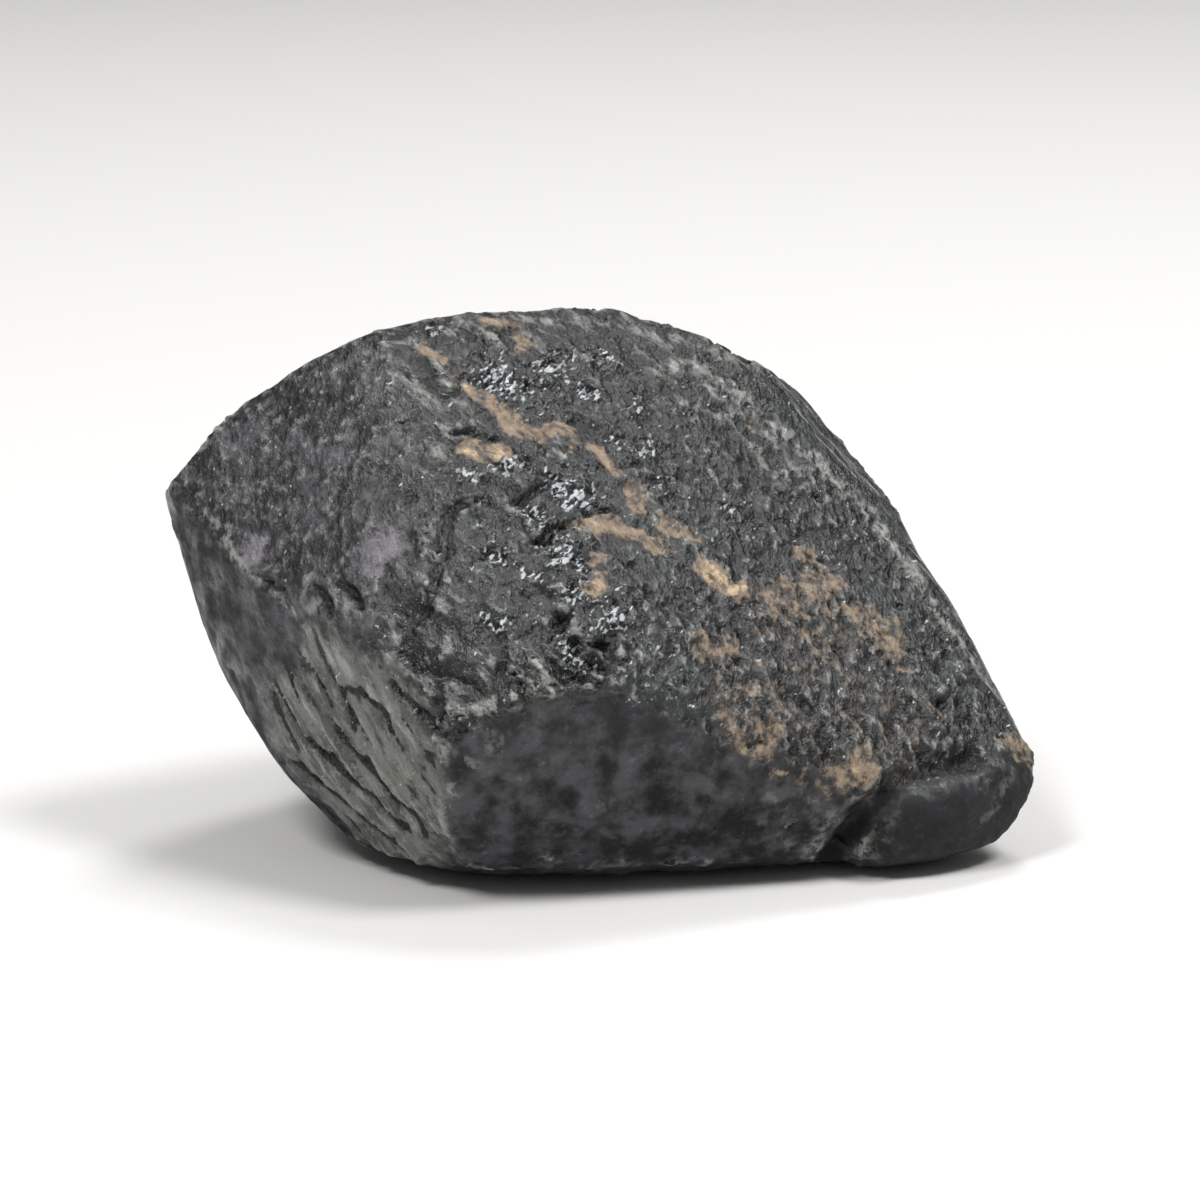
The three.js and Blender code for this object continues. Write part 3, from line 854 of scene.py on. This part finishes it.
    # rust lies in specks that thicken to the middle of a stain
    dust = addNode(tree, "ShaderNodeTexNoise",
                   {"Vector": place, "Scale": 1 / schorl["dust"], "Detail": 4, "Roughness": 0.7})
    rustSum = addNode(tree, "ShaderNodeMath", {0: dust, 1: schorl["dustRust"], 2: mark["rust"]},
                      operation="MULTIPLY_ADD")
    rust = addNode(tree, "ShaderNodeMapRange", {0: rustSum, **schorl["rustRamp"]}, **easing)
    grit = addNode(tree, "ShaderNodeMapRange", {0: fine, **schorl["gritRamp"]}, **easing)
    rust = addNode(tree, "ShaderNodeMath", {0: rust, 1: grit}, operation="MULTIPLY")
    stained = addNode(tree, "ShaderNodeMapRange", {0: mark["rust"], **schorl["stainRamp"]})
    rust = addNode(tree, "ShaderNodeMath", {0: rust, 1: stained}, operation="MULTIPLY")
    tone = addNode(tree, "ShaderNodeMath", {0: fine, 1: schorl["grainTone"], 2: rustSum},
                   operation="MULTIPLY_ADD")
    thick = addNode(tree, "ShaderNodeMapRange", {0: tone, **schorl["tanRamp"]}, **easing)
    rustColour = addNode(tree, "ShaderNodeMix", {0: thick, 6: tint["rust"], 7: tint["tan"]}, 2,
                         data_type="RGBA")
    thickest = addNode(tree, "ShaderNodeMapRange", {0: tone, **schorl["ochreRamp"]}, **easing)
    rustColour = addNode(tree, "ShaderNodeMix", {0: thickest, 6: rustColour, 7: tint["ochre"]}, 2,
                         data_type="RGBA")
    colour = addNode(tree, "ShaderNodeMix", {0: rust, 6: colour, 7: rustColour}, 2, data_type="RGBA")
    # the bloom on the left face
    bloomSum = addNode(tree, "ShaderNodeMath", {0: mark["lilac"], 1: dust}, operation="ADD")
    bloom = addNode(tree, "ShaderNodeMapRange", {0: bloomSum, **schorl["bloomRamp"]}, **easing)
    colour = addNode(tree, "ShaderNodeMix", {0: bloom, 6: colour, 7: tint["bloom"]}, 2, data_type="RGBA")
    # painted shade: cracks, grooves and pits are drawn near black; cracks are wider in one place and thinner
    # in another
    uneven = addNode(tree, "ShaderNodeMapRange", {0: mottle, **schorl["unevenRamp"]})
    ragged = addNode(tree, "ShaderNodeMath", {0: mark["crackAway"], 1: uneven}, operation="MULTIPLY")
    gapShade = addNode(tree, "ShaderNodeMapRange", {0: ragged, **schorl["crackRamp"]}, **easing)
    groove = addNode(tree, "ShaderNodeMapRange", {0: mark["grooveAway"], **schorl["grooveRamp"]}, **easing)
    gaps = addNode(tree, "ShaderNodeMath", {0: gapShade, 1: groove}, operation="MAXIMUM")
    shadedGaps = addNode(tree, "ShaderNodeMath", {0: gaps, 1: mark["pit"]}, operation="MAXIMUM")
    colour = addNode(tree, "ShaderNodeMix", {0: shadedGaps, 6: colour, 7: tint["gapShade"]}, 2, data_type="RGBA")
    # fresh crystal ends shine; the left face, the foot, the knob and the rust are dull
    satin = addNode(tree, "ShaderNodeMapRange", {0: mottle, **schorl["satinRamp"]})
    matt = addNode(tree, "ShaderNodeMix", {0: mark["leftFace"], 2: satin, 3: schorl["leftMatt"]})
    dull = addNode(tree, "ShaderNodeMapRange", {0: blotch, **schorl["dullRamp"]})
    high = addNode(tree, "ShaderNodeSeparateXYZ", {0: place}, 2)
    foot = addNode(tree, "ShaderNodeMapRange", {0: high, **schorl["footRamp"]})
    dull = addNode(tree, "ShaderNodeMath", {0: dull, 1: foot}, operation="ADD", use_clamp=True)
    matt = addNode(tree, "ShaderNodeMix", {0: smooth, 2: matt, 3: dull})
    matt = addNode(tree, "ShaderNodeMix", {0: mark["knob"], 2: matt, 3: schorl["knobMatt"]})
    shiny = addNode(tree, "ShaderNodeMix", {0: mark["shine"], 2: matt, 3: schorl["shineMatt"]})
    roughness = addNode(tree, "ShaderNodeMix", {0: rust, 2: shiny, 3: schorl["rustMatt"]})
    # roughness of the break, in mm, drawn a little coarser than the real grain so that it shows
    facets = shardTilt(tree, place, schorl["facet"])
    sparkle = addNode(tree, "ShaderNodeMapRange", {0: mark["shine"], **schorl["sparkleRamp"]})
    facets = addNode(tree, "ShaderNodeMath", {0: facets, 1: sparkle}, operation="MULTIPLY")
    height = addNode(tree, "ShaderNodeMath", {0: kinds["specks"], 1: schorl["speckBump"], 2: facets},
                     operation="MULTIPLY_ADD")
    subdued = addNode(tree, "ShaderNodeMapRange", {0: still, **schorl["subduedRamp"]})
    bumps = addNode(tree, "ShaderNodeMath", {0: height, 1: subdued}, operation="MULTIPLY")
    normal = addNode(tree, "ShaderNodeBump", {"Strength": 1.0, "Distance": mm, "Height": bumps})
    surface = addNode(tree, "ShaderNodeBsdfPrincipled",
                      {"Base Color": colour, "Roughness": roughness, "IOR": schorl["ior"], "Normal": normal})
    addNode(tree, "ShaderNodeOutputMaterial", {"Surface": surface})
    return material


stone.data.materials.append(schorlMaterial())
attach(stone, "root")
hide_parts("stone")
print("schorl set")

# A pale floor under soft light from above
studio = {
    "floor": 4.0,           # m across
    "floorColour": "#f2f1ef",
    "floorRoughness": 0.9,
    "world": 0.16,
    # each light: place and size in m, power in W
    "lights": {
        "back": ((0.08, 0.24, 0.44), 0.12, 0.75),
        "right": ((0.22, -0.05, 0.42), 0.13, 1.05),
        "left": ((-0.2, -0.18, 0.4), 0.13, 1.0),
        "over": ((0, 0.1, 0.6), 0.8, 0.5),
    },
}


def addLight(name, place, size, power):
    bpy.ops.object.light_add(type="AREA", location=place)
    light = bpy.context.active_object
    light.name = name
    light.data.size = size
    light.data.energy = power
    light.rotation_euler = (Vector(view["aim"]) * mm - Vector(place)).to_track_quat("-Z", "Y").to_euler()


def addStudio():
    bpy.ops.mesh.primitive_plane_add(size=studio["floor"])
    floor = bpy.context.active_object
    floor.name = "floor"
    paper = bpy.data.materials.new("matt paper")
    paper.use_nodes = True
    paper.node_tree.nodes.clear()
    matt = addNode(paper.node_tree, "ShaderNodeBsdfPrincipled",
                   {"Base Color": linear(studio["floorColour"]), "Roughness": studio["floorRoughness"]})
    addNode(paper.node_tree, "ShaderNodeOutputMaterial", {"Surface": matt})
    floor.data.materials.append(paper)
    world = bpy.data.worlds.new("studio")
    world.use_nodes = True
    world.node_tree.nodes["Background"].inputs["Color"].default_value = (1, 1, 1, 1)
    world.node_tree.nodes["Background"].inputs["Strength"].default_value = studio["world"]
    bpy.context.scene.world = world
    for name, (place, size, power) in studio["lights"].items():
        addLight(name, place, size, power)
    bpy.context.scene.view_settings.view_transform = "Standard"


addStudio()
print("studio lit")
